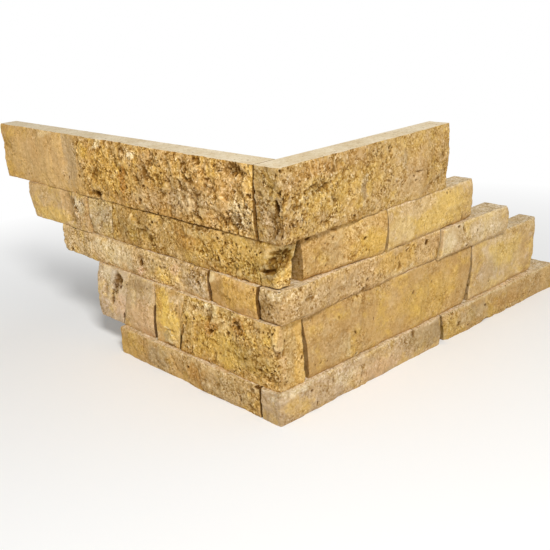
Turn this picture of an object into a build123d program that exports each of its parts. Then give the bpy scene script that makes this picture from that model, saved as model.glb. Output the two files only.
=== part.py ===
from build123d import *
from dataclasses import dataclass, field
import math
import os
import random

# Outside corner panel of split-face travertine: sawn strips in five courses on two legs at a right angle.
# The wall's corner edge is the Z axis and the underside is Z = 0. The right leg runs along +X with its
# split faces towards -Y, the left leg runs along +Y with its split faces towards -X.
# A reach is measured along the wall from its corner, and a depth out from the back of the panel.

# Top course
top_height = 42.7
top_left_reach = 309.0
top_left_corner_depth = 17.5
top_left_end_depth = 14.0
top_right_reach = 141.7
top_right_undercut = 3.0
top_right_corner_depth = 19.5
top_right_end_depth = 16.5
top_corner_gap_upper = 0.4
top_corner_gap_lower = 0.6

# Second course
second_height = 27.6
second_left_reach = 274.0
second_left_undercut = 6.0
second_left_corner_depth = 16.5
second_left_first_joint = 155.0
second_left_first_joint_lean = -2.0
second_left_first_joint_depth = 15.5
second_left_short_depth = 14.8
second_left_second_joint = 184.0
second_left_end_depth = 15.5
second_right_reach = 170.5
second_right_undercut = 1.0
second_right_corner_depth = 13.0
second_right_joint = 72.2
second_right_joint_lean = 1.2
second_right_joint_depth = 18.3
second_right_joint_gap_upper = 0.8
second_right_joint_gap_lower = 3.2
second_right_end_depth = 15.0
second_corner_gap_upper = 1.6
second_corner_gap_lower = 2.2

# Third course
third_height = 20.4
third_left_reach = 227.0
third_left_corner_depth = 20.0
third_left_joint = 47.2
third_left_joint_depth = 18.0
third_left_end_depth = 15.5
third_right_reach = 209.8
third_right_corner_depth = 18.5
third_right_joint = 129.5
third_right_joint_lean = 2.5
third_right_joint_depth = 15.5
third_right_end_depth = 18.4
third_corner_gap_upper = 1.2
third_corner_gap_lower = 2.0

# Fourth course
fourth_height = 41.7
fourth_left_reach = 178.5
fourth_left_splay = 4.5
fourth_left_corner_depth = 21.5
fourth_left_first_joint = 76.5
fourth_left_first_joint_lean = -5.5
fourth_left_first_joint_gap_lower = 1.6
fourth_left_first_joint_depth = 20.5
fourth_left_second_joint = 108.2
fourth_left_second_joint_lean = -2.2
fourth_left_second_joint_gap_upper = 0.6
fourth_left_second_joint_gap_lower = 2.2
fourth_left_second_joint_depth = 19.5
fourth_left_third_joint = 144.0
fourth_left_third_joint_lean = -8.0
fourth_left_third_joint_depth = 18.5
fourth_left_end_depth = 18.0
fourth_right_reach = 259.2
fourth_right_undercut = 6.2
fourth_right_corner_depth = 14.0
fourth_right_joint = 166.5
fourth_right_joint_lean = 3.5
fourth_right_joint_gap_upper = 0.8
fourth_right_joint_gap_lower = 7.0
fourth_right_joint_depth = 15.5
fourth_right_end_depth = 14.5
fourth_corner_gap_upper = 0.6
fourth_corner_gap_lower = 3.2

# Bottom course
bottom_height = 20.0
bottom_left_reach = 150.3
bottom_left_corner_depth = 24.0
bottom_left_end_depth = 23.5
bottom_right_reach = 277.5
bottom_right_corner_depth = 16.5
bottom_right_joint = 131.8
bottom_right_joint_gap_upper = 0.4
bottom_right_joint_gap_lower = 6.5
bottom_right_joint_depth = 17.5
bottom_right_end_depth = 20.5
bottom_corner_gap_upper = 1.8
bottom_corner_gap_lower = 0.8

# Gap of a tight butt joint
hairline_gap = 0.3

# Split faces: how they swell, roll and break, and the share of that left along their sawn edges
belly_rise = 1.2
long_wave_length = 62.0
long_wave_height = 0.8
short_wave_length = 21.0
short_wave_height = 0.6
facet_chatter = 0.7
facet_length = 9.0
facet_height = 7.0
end_facet_length = 6.5
bed_share = 0.45

# Damage at the second course's corner: a wedge broken out of the back, and a scoop out of the outer corner
broken_wedge_width = 7.5
broken_wedge_depth = 12.5
broken_wedge_clearance = 1.0
scoop_radius = 11.0
scoop_depth = 4.0
scoop_rise = 19.5


@dataclass
class Joint:
    """An upright butt joint: where it stands halfway up, how far its top leans out, and its gap at each bed."""
    middle: float
    lean: float = 0.0
    upper_gap: float = hairline_gap
    lower_gap: float = hairline_gap


@dataclass
class Strip:
    """One strip: its depth just above the sawn edge at either end, and the joint at its far end."""
    name: str
    near_depth: float
    far_depth: float
    far: Joint = None


@dataclass
class Leg:
    """One course of one leg, from the corner outwards, ending in a split end that may be undercut."""
    side: str
    lower: float
    upper: float
    reach: float
    lap: float
    near: Joint
    undercut: float = 0.0
    strips: list = field(default_factory=list)


@dataclass
class End:
    """One end of a strip: its place at the lower and the upper bed, and whether it is split."""
    lower: float
    upper: float
    split: bool = False

    def at(self, rise):
        """Place along the wall at a share of the course's height."""
        return mix(self.lower, self.upper, rise)


# Beds between the courses
fourth_bed = bottom_height
third_bed = fourth_bed + fourth_height
second_bed = third_bed + third_height
top_bed = second_bed + second_height
crown = top_bed + top_height


def butt(upper_gap, lower_gap):
    """Corner joint of a leg that stops against the back of the other leg's strip."""
    return Joint((upper_gap + lower_gap) / 4, (upper_gap - lower_gap) / 4, upper_gap, lower_gap)


def top_course():
    """The right strip laps over the end of the left one."""
    left = Leg("left", top_bed, crown, top_left_reach, 0, butt(top_corner_gap_upper, top_corner_gap_lower))
    left.strips.append(Strip("top_course_left_strip", top_left_corner_depth, top_left_end_depth))
    right = Leg("right", top_bed, crown, top_right_reach, top_left_corner_depth, None, top_right_undercut)
    right.strips.append(Strip("top_course_right_corner_strip", top_right_corner_depth, top_right_end_depth))
    return [left, right]


def second_course():
    """The left strip laps over the end of the right one."""
    left = Leg("left", second_bed, top_bed, second_left_reach, second_right_corner_depth, None,
               second_left_undercut)
    first = Joint(second_left_first_joint, second_left_first_joint_lean)
    second = Joint(second_left_second_joint)
    left.strips = [
        Strip("second_course_left_corner_strip", second_left_corner_depth, second_left_first_joint_depth, first),
        Strip("second_course_left_short_strip", second_left_short_depth, second_left_short_depth, second),
        Strip("second_course_left_end_strip", second_left_end_depth, second_left_end_depth),
    ]
    right = Leg("right", second_bed, top_bed, second_right_reach, 0,
                butt(second_corner_gap_upper, second_corner_gap_lower), second_right_undercut)
    joint = Joint(second_right_joint, second_right_joint_lean,
                  second_right_joint_gap_upper, second_right_joint_gap_lower)
    right.strips = [
        Strip("second_course_right_inner_strip", second_right_corner_depth, second_right_joint_depth, joint),
        Strip("second_course_right_end_strip", second_right_joint_depth, second_right_end_depth),
    ]
    return [left, right]


def third_course():
    """The right strip laps over the end of the left one."""
    left = Leg("left", third_bed, second_bed, third_left_reach, 0,
               butt(third_corner_gap_upper, third_corner_gap_lower))
    joint = Joint(third_left_joint)
    left.strips = [
        Strip("third_course_left_inner_strip", third_left_corner_depth, third_left_joint_depth, joint),
        Strip("third_course_left_end_strip", third_left_joint_depth, third_left_end_depth),
    ]
    right = Leg("right", third_bed, second_bed, third_right_reach, third_left_corner_depth, None)
    joint = Joint(third_right_joint, third_right_joint_lean)
    right.strips = [
        Strip("third_course_right_corner_strip", third_right_corner_depth, third_right_joint_depth, joint),
        Strip("third_course_right_end_strip", third_right_end_depth, third_right_end_depth),
    ]
    return [left, right]


def fourth_course():
    """The left strip laps over the end of the right one."""
    left = Leg("left", fourth_bed, third_bed, fourth_left_reach, fourth_right_corner_depth, None,
               -fourth_left_splay)
    first = Joint(fourth_left_first_joint, fourth_left_first_joint_lean,
                  lower_gap=fourth_left_first_joint_gap_lower)
    second = Joint(fourth_left_second_joint, fourth_left_second_joint_lean,
                   fourth_left_second_joint_gap_upper, fourth_left_second_joint_gap_lower)
    third = Joint(fourth_left_third_joint, fourth_left_third_joint_lean)
    left.strips = [
        Strip("fourth_course_left_corner_strip", fourth_left_corner_depth, fourth_left_first_joint_depth, first),
        Strip("fourth_course_left_golden_strip", fourth_left_first_joint_depth, fourth_left_second_joint_depth,
              second),
        Strip("fourth_course_left_grey_strip", fourth_left_second_joint_depth, fourth_left_third_joint_depth,
              third),
        Strip("fourth_course_left_end_strip", fourth_left_third_joint_depth, fourth_left_end_depth),
    ]
    right = Leg("right", fourth_bed, third_bed, fourth_right_reach, 0,
                butt(fourth_corner_gap_upper, fourth_corner_gap_lower), fourth_right_undercut)
    joint = Joint(fourth_right_joint, fourth_right_joint_lean,
                  fourth_right_joint_gap_upper, fourth_right_joint_gap_lower)
    right.strips = [
        Strip("fourth_course_right_inner_strip", fourth_right_corner_depth, fourth_right_joint_depth, joint),
        Strip("fourth_course_right_end_strip", fourth_right_joint_depth, fourth_right_end_depth),
    ]
    return [left, right]


def bottom_course():
    """The right strip laps over the end of the left one."""
    left = Leg("left", 0, fourth_bed, bottom_left_reach, 0,
               butt(bottom_corner_gap_upper, bottom_corner_gap_lower))
    left.strips.append(Strip("bottom_course_left_strip", bottom_left_corner_depth, bottom_left_end_depth))
    right = Leg("right", 0, fourth_bed, bottom_right_reach, bottom_left_corner_depth, None)
    joint = Joint(bottom_right_joint, 0, bottom_right_joint_gap_upper, bottom_right_joint_gap_lower)
    right.strips = [
        Strip("bottom_course_right_corner_strip", bottom_right_corner_depth, bottom_right_joint_depth, joint),
        Strip("bottom_course_right_end_strip", bottom_right_joint_depth, bottom_right_end_depth),
    ]
    return [left, right]


def mix(a, b, share):
    """Value at a share of the way from a to b."""
    return a + (b - a) * share


def face_rows(strip, leg, near, far, rng):
    """Rows of points over the split face, from the lower bed up: along the wall, out from the back, and up."""
    length = far.at(0.5) - near.at(0.5)
    columns = max(2, round(length / facet_length))
    rows = max(2, round((leg.upper - leg.lower) / facet_height))
    long_phase = rng.uniform(0, math.tau)
    short_phase = rng.uniform(0, math.tau)
    net = []
    for row in range(rows + 1):
        rise = row / rows
        unrest = bed_share if row in (0, rows) else 1
        line = []
        for column in range(columns + 1):
            share = column / columns
            along = mix(near.at(rise), far.at(rise), share)
            out = mix(strip.near_depth, strip.far_depth, share)
            out += belly_rise * 4 * rise * (1 - rise)
            swell = long_wave_height * math.sin(math.tau * along / long_wave_length + long_phase + rise)
            swell += short_wave_height * math.sin(math.tau * along / short_wave_length + short_phase - 3 * rise)
            swell += facet_chatter * rng.uniform(-1, 1)
            line.append((along, out + unrest * swell, mix(leg.lower, leg.upper, rise)))
        net.append(line)
    return net


def end_rows(end, arris, inwards, rng):
    """Rows of points over an end, from the back out to the arris of the split face. A split end breaks inwards."""
    columns = 1
    if end.split:
        columns = max(2, round(arris[0][1] / end_facet_length))
    net = []
    for row, (along, out, up) in enumerate(arris):
        back = end.at(row / (len(arris) - 1))
        line = []
        for column in range(columns):
            share = column / columns
            broken = facet_chatter * rng.uniform(0, 2) * inwards if column else 0
            line.append((mix(back, along, share) + broken, out * share, up))
        line.append((along, out, up))
        net.append(line)
    return net


def polygon(points, side):
    """Flat face inside a closed run of straight edges, turned from a leg's own measures to the panel's axes."""
    if side == "right":
        corners = [(along, -out, up) for along, out, up in points]
    else:
        corners = [(-out, along, up) for along, out, up in points]
    return Face(Wire.make_polygon(corners, close=True))


def facets(net, side):
    """Two flat facets for each cell of a net, the diagonals turned from cell to cell."""
    faces = []
    for row, (low, high) in enumerate(zip(net[:-1], net[1:])):
        for column in range(len(low) - 1):
            a, b = low[column], low[column + 1]
            d, c = high[column], high[column + 1]
            corners = [[a, b, d], [b, c, d]]
            if (row + column) % 2:
                corners = [[a, b, c], [a, c, d]]
            faces += [polygon(triangle, side) for triangle in corners]
    return faces


def end_faces(net, end, side):
    """Facets of a split end, or one flat face for a sawn one."""
    if end.split:
        return facets(net, side)
    return [polygon([line[-1] for line in net] + [net[-1][0], net[0][0]], side)]


def back_line(net, end):
    """Corners down the back edge of an end, from the lower bed up."""
    line = [row[0] for row in net]
    return line if end.split else [line[0], line[-1]]


def strip_solid(strip, leg, near, far, rng):
    """A strip with sawn beds and back, a split face, and ends that are split where they show."""
    net = face_rows(strip, leg, near, far, rng)
    near_net = end_rows(near, [line[0] for line in net], 1, rng)
    far_net = end_rows(far, [line[-1] for line in net], -1, rng)
    faces = facets(net, leg.side) + end_faces(near_net, near, leg.side) + end_faces(far_net, far, leg.side)
    for row in (0, -1):
        bed = near_net[row] + net[row][1:] + far_net[row][-2::-1]
        faces.append(polygon(bed, leg.side))
    back = back_line(near_net, near) + back_line(far_net, far)[::-1]
    faces.append(polygon(back, leg.side))
    return Solid(Shell(faces))


def leg_solids(leg, rng):
    """Each strip of a leg with its name, the joints between neighbours left open by their gaps."""
    solids = {}
    near = End(-leg.lap, -leg.lap, split=True)
    if leg.near:
        near = joint_end(leg.near, 1)
    for strip in leg.strips:
        far = End(leg.reach - leg.undercut, leg.reach, split=True)
        if strip.far:
            far = joint_end(strip.far, -1)
        solids[strip.name] = strip_solid(strip, leg, near, far, rng)
        if strip.far:
            near = joint_end(strip.far, 1)
    return solids


def joint_end(joint, side):
    """Sawn end of the strip on the far (1) or the near (-1) side of a joint."""
    lower = joint.middle - joint.lean + side * joint.lower_gap / 2
    upper = joint.middle + joint.lean + side * joint.upper_gap / 2
    return End(lower, upper)


def broken_wedge():
    """Wedge missing from the back of the second course's lapping end, wide at the lower bed."""
    outline = Polyline(
        (broken_wedge_clearance, second_bed - broken_wedge_clearance),
        (-broken_wedge_width, second_bed - broken_wedge_clearance),
        (-broken_wedge_width * 0.8, mix(second_bed, top_bed, 0.45)),
        (broken_wedge_clearance, top_bed),
        close=True,
    )
    front = second_right_corner_depth + belly_rise + broken_wedge_clearance
    section = Plane.XZ.offset(front) * make_face(outline)
    return extrude(section, -broken_wedge_depth - belly_rise - broken_wedge_clearance)


def corner_scoop():
    """Round break in the outer corner of the second course."""
    stand_off = (scoop_radius - scoop_depth) * math.sqrt(0.5)
    centre = (
        -second_left_corner_depth - stand_off,
        -second_right_corner_depth - stand_off,
        second_bed + scoop_rise,
    )
    return Pos(*centre) * Sphere(scoop_radius)


def build():
    """Every strip of the panel, by name."""
    rng = random.Random(7)
    strips = {}
    for course in (top_course, second_course, third_course, fourth_course, bottom_course):
        for leg in course():
            strips.update(leg_solids(leg, rng))
    corner = "second_course_left_corner_strip"
    strips[corner] = strips[corner] - broken_wedge() - corner_scoop()
    return strips


os.makedirs("parts", exist_ok=True)
for node, solid in build().items():
    export_step(solid, f"parts/{node}.step")
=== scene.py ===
import math
from dataclasses import dataclass, field, replace

import bpy
import numpy as np
from mathutils import Matrix, Vector
from mathutils.bvhtree import BVHTree


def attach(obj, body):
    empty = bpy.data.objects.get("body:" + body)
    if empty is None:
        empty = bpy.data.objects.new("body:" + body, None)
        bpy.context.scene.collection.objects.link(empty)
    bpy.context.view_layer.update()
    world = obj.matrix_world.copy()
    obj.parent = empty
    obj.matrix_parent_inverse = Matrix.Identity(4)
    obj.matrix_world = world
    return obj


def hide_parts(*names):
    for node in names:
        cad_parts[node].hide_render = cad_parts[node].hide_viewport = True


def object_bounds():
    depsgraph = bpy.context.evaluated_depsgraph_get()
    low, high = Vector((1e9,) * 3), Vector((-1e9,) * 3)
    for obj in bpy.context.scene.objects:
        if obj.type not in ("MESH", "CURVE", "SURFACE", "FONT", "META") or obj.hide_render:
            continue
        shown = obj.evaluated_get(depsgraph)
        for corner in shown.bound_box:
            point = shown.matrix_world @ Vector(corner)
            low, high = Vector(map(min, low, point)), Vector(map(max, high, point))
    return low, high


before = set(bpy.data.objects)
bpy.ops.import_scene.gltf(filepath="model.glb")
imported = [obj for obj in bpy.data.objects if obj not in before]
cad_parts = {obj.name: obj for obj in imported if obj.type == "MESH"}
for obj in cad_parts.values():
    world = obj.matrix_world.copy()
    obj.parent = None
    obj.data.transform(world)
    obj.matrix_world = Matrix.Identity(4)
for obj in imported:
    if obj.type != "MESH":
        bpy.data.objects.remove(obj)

cad_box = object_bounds()

# Lengths are in millimetres until a mesh is written. A place on a leg is given along the wall from its
# corner, out from the back of the panel, and up from the underside.
MM = 0.001

# Net of points on a strip
POINT_SPACING = 0.5
BASE_SPACING = 4.0
ARRIS_TURN = 2.2
HIDDEN_END_COLUMNS = 16
HIDDEN_END_CROWDING = 1.6
WEDGE_SIDE_COLUMNS = 3
WEDGE_RETURN_COLUMNS = 12
FIELD_START = 1000

# Reading of a CAD node
BED_TOLERANCE = 0.05
CLEAR_OF_BED = 0.2
CLEAR_OF_END = 0.6
RAY_START = 100
INWARD_STEP = 0.5

# Gap behind the broken corner of the second course, at three shares of the strip's height
WEDGE_SHARES = (0, 0.45, 1)
WEDGE_GAPS = (7.5, 6.0, 0.0)

# Roughness along a split face
TURN_LENGTH = 13
TURN_SWAY = 7
TURN_SWAY_LENGTH = 11
LAP_TURN_LENGTH = 7
ROUGH_SWING = 0.3

# Relief of the split faces
WAVE_LENGTH = 34.0
WAVE_HEIGHT = 0.6
FACET_LENGTH = 12.0
FACET_BEND = 3.0
FACET_BEND_LENGTH = 9
SMOOTH_FACET = 0.30
ROUGH_FACET = 0.8
GRAIN_LENGTH = 3.6
GRAIN_STIR = 0.5
GRAIN_STIR_LENGTH = 2.4
GRAIN_SHARPNESS = 30
LUMP_LENGTH = 1.2
LUMP_HEIGHT = 1.3
SMOOTH_GRAIN = 0.16
ROUGH_GRAIN = 1.0
CRUMBLE_LENGTH = 9.0
CRUMBLE_DETAIL = 4.3
CRUMBLE_DEPTH = 1.3
CRUMBLE_THRESHOLD = 1.1
BED_CALM = 0.35
BED_CALM_HEIGHT = 5.0
END_CALM = 0.3
END_CALM_LENGTH = 5.0
SPLIT_END_SET_BACK = 0.7
BUTT_CLEARANCE = 0.12
BUTT_UNEVENNESS = 0.25

# Pits
PITS_PER_AREA = 0.032
PIT_SIZE = 0.36
PIT_SIZE_SPREAD = 0.4
PIT_DEPTHS = (0.3, 0.8)
PIT_TURN = 35
LARGE_PIT_CHANCE = 0.02
LARGE_PIT_GROWTH = 0.6
CLUSTER_CHANCE = 0.09
CLUSTER_MEMBERS = (3, 9)
CLUSTER_SPREAD = 2.2
HOLE_SIZES = (0.42, 0.85)
HOLE_DEPTHS = (0.9, 1.5)
HOLE_TURN = 30
RAGGED_LENGTH = 3.1
RAGGED_SHIFT = 0.35
RAGGED_LIMIT = 5.0

# Arrises of the split faces
NICK_HEIGHT = 1.6
NICK_DEPTH = 0.16
CHIP_DEPTH = 1.6
CHIP_RARITY = 0.45
GROOVE_HEIGHT = 1.3
CREST_HEIGHT = 1.5
CREST_WEAR = 0.4
FOOT_HEIGHT = 3.2
LAP_WEAR = 0.6
LAP_WEAR_LENGTH = 1.2

# Depths at which pits and clefts are fully dark (partly painted shade), reach of the mean that tells tops
# from hollows for painted shade and highlight, reach of a joint's painted shade past its arris, and
# strength of the painted shade in the groove under a bed
DARK_PIT = 1.1
DARK_CLEFT = 1.3
RISE_REACH = 7
JOINT_EDGE = 0.8
GROOVE_SHADE = 0.45

CAMERA_PLACE = (-0.3080, -0.3317, 0.2424)
CAMERA_LOOK = (0.63524, 0.69854, -0.32941)
CAMERA_ROLL = math.radians(-3.70)
CAMERA_LENS = 53.9
LAMP_PLACE = (-0.44, -0.77, 0.96)
LAMP_AIM = (0.03, 0.06, 0.08)
LAMP_SIZE = 0.3
LAMP_POWER = 13.8
SKY_STRENGTH = 0.38
FLOOR_REACH = 30.0
FLOOR_FADE = (0.25, 0.6)


@dataclass
class Mark:
    """A place where stone is missing: its middle, half its width and height, its depth, its lean in
    degrees, and its rim, from below 1 where it is steep to 2 where it is a dish."""
    along: float
    up: float
    wide: float
    tall: float
    deep: float
    lean: float = 0.0
    edge: float = 0.6
    kind: str = "pit"


def hollow(along, up, wide, tall, deep, lean=0.0, edge=2.0):
    """A dent with no dark lining, or a swelling where its depth is negative."""
    return Mark(along, up, wide, tall, deep, lean, edge, "hollow")


def crumbled(along, up, wide, tall, deep=1.6, lean=0.0):
    """A patch where the stone has crumbled away raggedly."""
    return Mark(along, up, wide, tall, deep, lean, 0.7, "crumbled")


def holes(along, up, wide, tall, crowd=0.16):
    """A patch of small dark holes, with their number to a square millimetre in place of the depth."""
    return Mark(along, up, wide, tall, crowd, kind="holes")


@dataclass
class Tint:
    """A patch of another colour on a split face, half as wide and tall as it says, and its strength."""
    kind: str
    along: float
    up: float
    wide: float
    tall: float
    amount: float = 1.0


@dataclass
class Look:
    """How one strip's split face differs from the next one's. A pair is for the near and the far end."""
    base: str
    tone: tuple
    # Ends that are split too: a near end that laps over the other leg, and a far end with no neighbour
    laps: bool = False
    free: bool = False
    # From 0, smooth, to 1, rough, where along the wall it turns, and how rough a lapping end is
    rough: tuple = (0.5, 0.5)
    rough_turn: float = None
    rough_end: float = None
    # Crowd of the scattered pits, lean of the bedding in degrees, and length of the grains along it
    pits: float = 1.0
    lean: float = 0.0
    stretch: float = 1.6
    rounding: tuple = (0.8, 0.8)
    # Joints: how far round the arris their painted shade reaches and how strong it is, and the height above
    # which they are shut and unshaded
    seam: float = 0.2
    dark: float = 0.85
    shut_above: float = 999.0
    # Upper and lower arris: depth of the groove under the bed, painted highlight and wear of the upper
    # arris, and wear of the foot
    groove: float = 0.0
    crest: float = 0.0
    foot: float = 0.0
    # Values of marks and tints
    large_pits: list = field(default_factory=list)
    hollows: list = field(default_factory=list)
    crumbled: list = field(default_factory=list)
    holes: list = field(default_factory=list)
    tints: dict = field(default_factory=dict)

    def all_marks(self):
        made = [Mark(*values) for values in self.large_pits]
        made += [hollow(*values) for values in self.hollows]
        made += [crumbled(*values) for values in self.crumbled]
        return made + [holes(*values) for values in self.holes]

    def all_tints(self):
        return [Tint(kind, *values) for kind, group in self.tints.items() for values in group]


LOOKS = {}


def add_look(name, base, tone, **values):
    LOOKS[name] = Look(base, tone, **values)


add_look("top_course_left_strip", "golden", (1.30, 1.31, 1.27), free=True, rough=(1, 0.12), rough_turn=190,
    pits=1.5, lean=12, stretch=1.5, seam=0.7, rounding=(0.3, 0.8),
    large_pits=[(169.2, 113.4, 4.4, 1.7, 2.6), (73.3, 120, 0.8, 1.8, 1.5), (53.3, 150.4, 1.2, 0.9, 1.4),
        (16.7, 149, 0.7, 1.6, 1.3), (12.5, 150.2, 0.7, 1, 1.3), (29.9, 145.6, 3, 0.5, 1, 4),
        (34.1, 127.6, 0.5, 3, 0.9, -18), (12.7, 127.5, 1.6, 1.1, 1.7), (19, 115.1, 1.5, 1, 1.7),
        (26.3, 110.2, 1.2, 0.9, 1.4), (2.9, 134.5, 0.9, 1.4, 1.2), (6.3, 118.4, 0.8, 1.1, 1.2),
        (134.3, 148.4, 0.9, 0.8, 1.2), (194.6, 138.6, 0.8, 0.9, 1.2), (197, 125.1, 0.6, 1.1, 0.9),
        (251.4, 135.7, 1, 0.7, 0.9), (290.1, 142.1, 0.6, 0.8, 0.7), (215, 149.3, 0.5, 0.5, 0.8),
        (90.6, 126, 0.8, 1.3, 1.2)],
    hollows=[(205, 136, 16, 20, 1.2), (183, 132, 5, 22, -0.9), (303, 134, 14, 13, 2.4),
        (172, 114, 9, 5, 1.2), (30, 118, 14, 9, 0.9), (140, 140, 16, 10, -0.7)],
    crumbled=[(105, 136, 3.2, 6, 2.6, 20), (112.8, 130.5, 2.4, 4, 2.2), (66.8, 132.2, 2.4, 3.4, 2.6),
        (59.5, 138.8, 5.5, 3.2, 2.2, -30), (20, 117, 13, 7), (17, 147.5, 9, 4.5, 1.8), (52, 149, 6, 3, 2),
        (133, 146, 5, 6, 1.4), (170, 113.5, 8, 4)],
    holes=[(16, 117, 15, 8), (14, 147, 8, 4), (5, 132, 5, 10, 0.1), (108, 132, 8, 9, 0.12),
        (62, 137, 8, 6, 0.1)],
    tints={
        "gold": [(176.8, 145, 8, 5, 0.9), (150, 132, 30, 16, 0.5), (268, 146, 10, 5, 0.4),
            (188, 143, 8, 8, 0.8)],
        "ochre": [(132.9, 127.3, 5, 10, 0.9), (256, 134, 10, 9, 0.45), (226, 140, 4, 16, 0.3),
            (240, 140, 10, 8, 0.3)],
        "beige": [(240, 131, 60, 30, 0.6), (13.7, 124, 9, 10, 0.6)],
        "pale": [(163, 150, 5, 3, 0.9), (120.5, 145.7, 7, 4, 0.8), (14, 122, 13, 12, 0.6),
            (235, 151, 12, 4, 0.3)],
        "grey": [(62, 124, 30, 10, 0.6), (200, 134, 8, 22, 0.5), (207, 136, 5, 26, 0.6),
            (108, 118, 20, 7, 0.4)],
        "brown": [(106, 134, 7, 9, 0.5), (134, 148, 3, 5, 0.5), (15, 148, 8, 4, 0.4),
            (60, 137, 7, 5, 0.5)]})
add_look("top_course_right_corner_strip", "golden", (0.97, 1.03, 1.16), laps=True, free=True,
    rough=(0.9, 0.55), pits=1.3, lean=-25, rounding=(1.6, 0.8),
    large_pits=[(-22.6, 130.5, 1.8, 4.2, 3, -8), (-19.5, 138.4, 0.9, 2.2, 2.2, 20),
        (-15.2, 135.4, 0.7, 2.4, 1.8), (-21, 147.8, 0.6, 1.8, 1.7), (-15.4, 150.6, 1.2, 1, 1.5),
        (69.1, 151, 0.5, 0.5, 1.1), (77.3, 147.1, 1.1, 0.8, 1.3), (62.1, 147.7, 0.8, 0.7, 1.2),
        (101.8, 122.8, 1.3, 0.6, 1.1), (68.3, 123, 1.2, 1, 0.9), (-4.8, 138.4, 0.5, 0.9, 0.9),
        (15.4, 115.6, 1.2, 0.7, 1.1), (105, 128, 5, 0.5, 0.8, 3)],
    hollows=[(-19, 124, 7, 12, 1.1), (52, 127, 4, 9, 0.7), (135, 118, 10, 10, 1.2)],
    holes=[(-20, 117, 6, 7, 0.12), (-20, 132, 2.5, 8, 0.25), (-3, 131, 8, 12, 0.06),
        (70, 147, 14, 4, 0.05)],
    tints={
        "gold": [(30, 130, 40, 14, 0.5), (-28, 139, 8, 13, 0.4)], "ochre": [(12, 146, 20, 6, 0.5)],
        "beige": [(96, 124, 16, 12, 0.5), (-30, 128, 5, 20, 0.5)],
        "grey": [(52, 127, 3, 9, 0.6), (92, 138, 5, 9, 0.4)], "brown": [(-23, 121, 5, 9, 0.6)]})
add_look("second_course_left_corner_strip", "golden", (1.14, 1.18, 1.15), laps=True, rough=(0.8, 0.9),
    groove=2.2, lean=15, rounding=(1, 0.8),
    large_pits=[(-4, 91.6, 3, 1, 1.6, 16), (-10, 92.6, 2.4, 0.8, 1.4, 4), (1.6, 85.8, 0.6, 3.6, 1.4),
        (110.4, 98.6, 1.2, 1.4, 1.7), (100.7, 103.3, 0.8, 1.2, 1.3), (0.6, 102, 1.5, 0.7, 1.2, 30),
        (49.3, 98.6, 1, 0.7, 1), (-13, 82.2, 13, 0.9, 2.4, 0, 1)],
    hollows=[(-14, 99, 9.5, 7.5, 2.2, 0, 0.8), (-7, 92, 8, 2.2, 1.4, 12, 0.8), (68.8, 99.2, 5, 4, 1),
        (-9, 86.5, 9, 4.2, -0.9), (12, 92, 12, 8, 0.8)],
    crumbled=[(-13.5, 98.5, 9.5, 7.5, 2), (-7, 92.2, 8, 2.4, 3, 12)],
    holes=[(-14, 99, 8.5, 7, 0.25), (20, 96, 20, 8, 0.06)],
    tints={
        "gold": [(20, 95, 60, 12, 0.4)], "ochre": [(68, 98, 14, 7, 0.5)],
        # The first brown patch is painted shade in the undercut above the broken corner's lower block.
        "brown": [(-8, 92.6, 8, 3, 0.7), (-14, 98, 8, 6, 0.3)],
        "moss": [(-13.5, 99, 11, 8.5, 0.75), (10, 90, 20, 6, 0.4), (130, 92, 20, 8, 0.3)]})
add_look("second_course_left_short_strip", "grey", (1.28, 1.37, 1.39), rough=(0.6, 0.6), dark=0.25,
    groove=1.2, pits=1.6, lean=10,
    large_pits=[(160, 98.6, 1, 1.8, 1.5), (160.4, 91, 1, 1, 1.3), (182.9, 90, 0.9, 4, 1.6)],
    tints={"grey": [(170, 98, 12, 10, 0.5)]})
add_look("second_course_left_end_strip", "tan", (1.27, 1.39, 1.64), free=True, rough=(0.7, 0.03), dark=0.25,
    groove=0.8, rough_turn=204, pits=0.5,
    large_pits=[(203.8, 103, 1.6, 3.6, 1, 8), (189.4, 103, 1.2, 1.4, 1.2)],
    hollows=[(213, 99, 11, 16, 2.4, 8, 0.9), (245, 96, 26, 14, 0.9)],
    tints={
        "gold": [(240, 88, 30, 6, 0.6)], "pale": [(195, 100, 8, 7, 0.5)],
        "brown": [(205, 104, 2.5, 5, 0.7)]})
add_look("second_course_right_inner_strip", "tan", (1.00, 1.03, 0.98), rough=(0.5, 0.3), groove=0.5,
    crest=0.5, dark=0.25, foot=1.6, pits=0.8, lean=-15, rounding=(0.4, 0.8),
    large_pits=[(51.9, 97, 1.4, 0.8, 1.8), (20.6, 87.4, 0.7, 0.7, 1.1), (7.7, 107.2, 2.2, 1.4, 1.4)],
    tints={
        "gold": [(60, 92, 14, 10, 0.6)], "beige": [(40, 104, 24, 6, 0.5)], "grey": [(26, 94, 10, 8, 0.35)]})
add_look("second_course_right_end_strip", "golden", (1.05, 1.16, 1.50), free=True, rough=(0.12, 0.08),
    crest=0.5, dark=0.3, foot=1.6, pits=0.35, lean=-15,
    tints={
        "gold": [(120, 96, 50, 14, 0.7), (80, 88, 8, 4, 0.5)], "beige": [(104, 104, 20, 6, 0.5)],
        "pale": [(88, 94, 16, 9, 0.18)]})
add_look("third_course_left_inner_strip", "tan", (1.14, 1.13, 1.05), rough=(0.3, 0.3), groove=0.5,
    crest=0.35, pits=0.8, lean=5, rounding=(1.4, 1.4),
    tints={"gold": [(18, 72, 18, 8, 0.4)], "pale": [(44, 79, 4, 4, 0.7)], "brown": [(36, 73, 8, 6, 0.3)]})
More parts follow.
